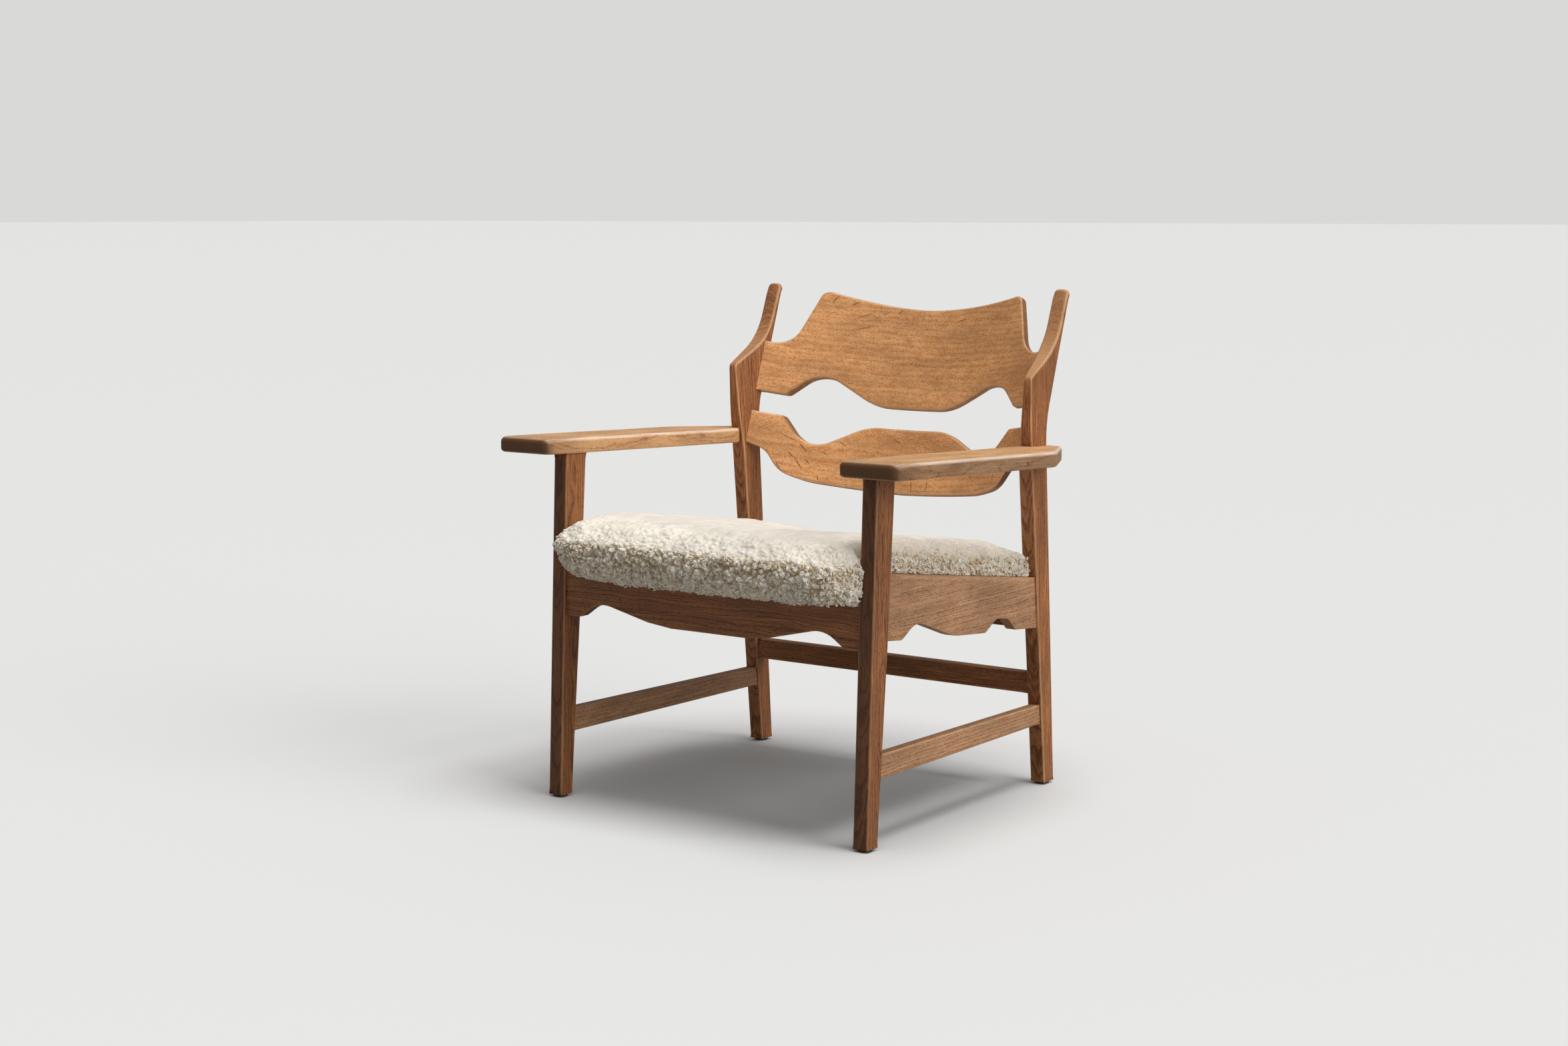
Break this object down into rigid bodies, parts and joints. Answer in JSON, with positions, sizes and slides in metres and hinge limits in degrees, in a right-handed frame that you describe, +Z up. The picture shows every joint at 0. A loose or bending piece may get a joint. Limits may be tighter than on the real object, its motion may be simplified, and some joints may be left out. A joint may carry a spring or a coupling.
{
  "type": "armchair",
  "caption": "Low oak lounge chair with winged rear posts, scalloped curved back boards, flat armrests and a seat covered with curly sheepskin.",
  "frame": {"origin": "on the floor, at the middle of the chair's outline", "axes": "+Z up, the chair faces -Y, +X across it to a viewer's right who stands in front and looks along +Y; parts called right are at +X"},
  "size_m": [0.7456, 0.6828, 0.7815],
  "materials": {
    "oak_frame": "oiled oak, satin, mid brown",
    "oak_boards": "oiled oak, satin, golden brown",
    "oak_arms": "oiled oak, satin, golden brown",
    "inner_wood": "plain sawn beech",
    "steel": "plain zinc-plated steel",
    "webbing": "jute webbing",
    "canvas": "plain canvas",
    "foam": "seat foam, matt",
    "sheepskin": "short curly sheepskin, cream",
    "dust_cloth": "thin black cloth",
    "glide": "black nylon, matt"
  },
  "bodies": {
    "root": {"front_leg_left": "oak_frame", "front_leg_right": "oak_frame", "rear_post_left": "oak_frame", "rear_post_right": "oak_frame", "side_apron_left": "oak_frame", "side_apron_right": "oak_frame", "side_stretcher_left": "oak_frame", "side_stretcher_right": "oak_frame", "rear_stretcher": "oak_frame", "front_apron": "oak_frame", "rear_apron": "oak_frame", "upper_back_board": "oak_boards", "lower_back_board": "oak_boards", "armrest_left": "oak_arms", "armrest_right": "oak_arms", "corner_block_front_left": "inner_wood", "corner_block_front_right": "inner_wood", "corner_block_rear_left": "inner_wood", "corner_block_rear_right": "inner_wood", "seat_frame_front": "inner_wood", "seat_frame_rear": "inner_wood", "seat_frame_left": "inner_wood", "seat_frame_right": "inner_wood", "arm_dowels": "inner_wood", "corner_block_screws": "steel", "seat_screws": "steel", "webbing_across": "webbing", "webbing_along": "webbing", "canvas_sheet": "canvas", "foam_pad": "foam", "sheepskin_cover": "sheepskin", "dust_cover": "dust_cloth", "foot_glide_front_left": "glide", "foot_glide_front_right": "glide", "foot_glide_rear_left": "glide", "foot_glide_rear_right": "glide"}
  },
  "joints": []
}
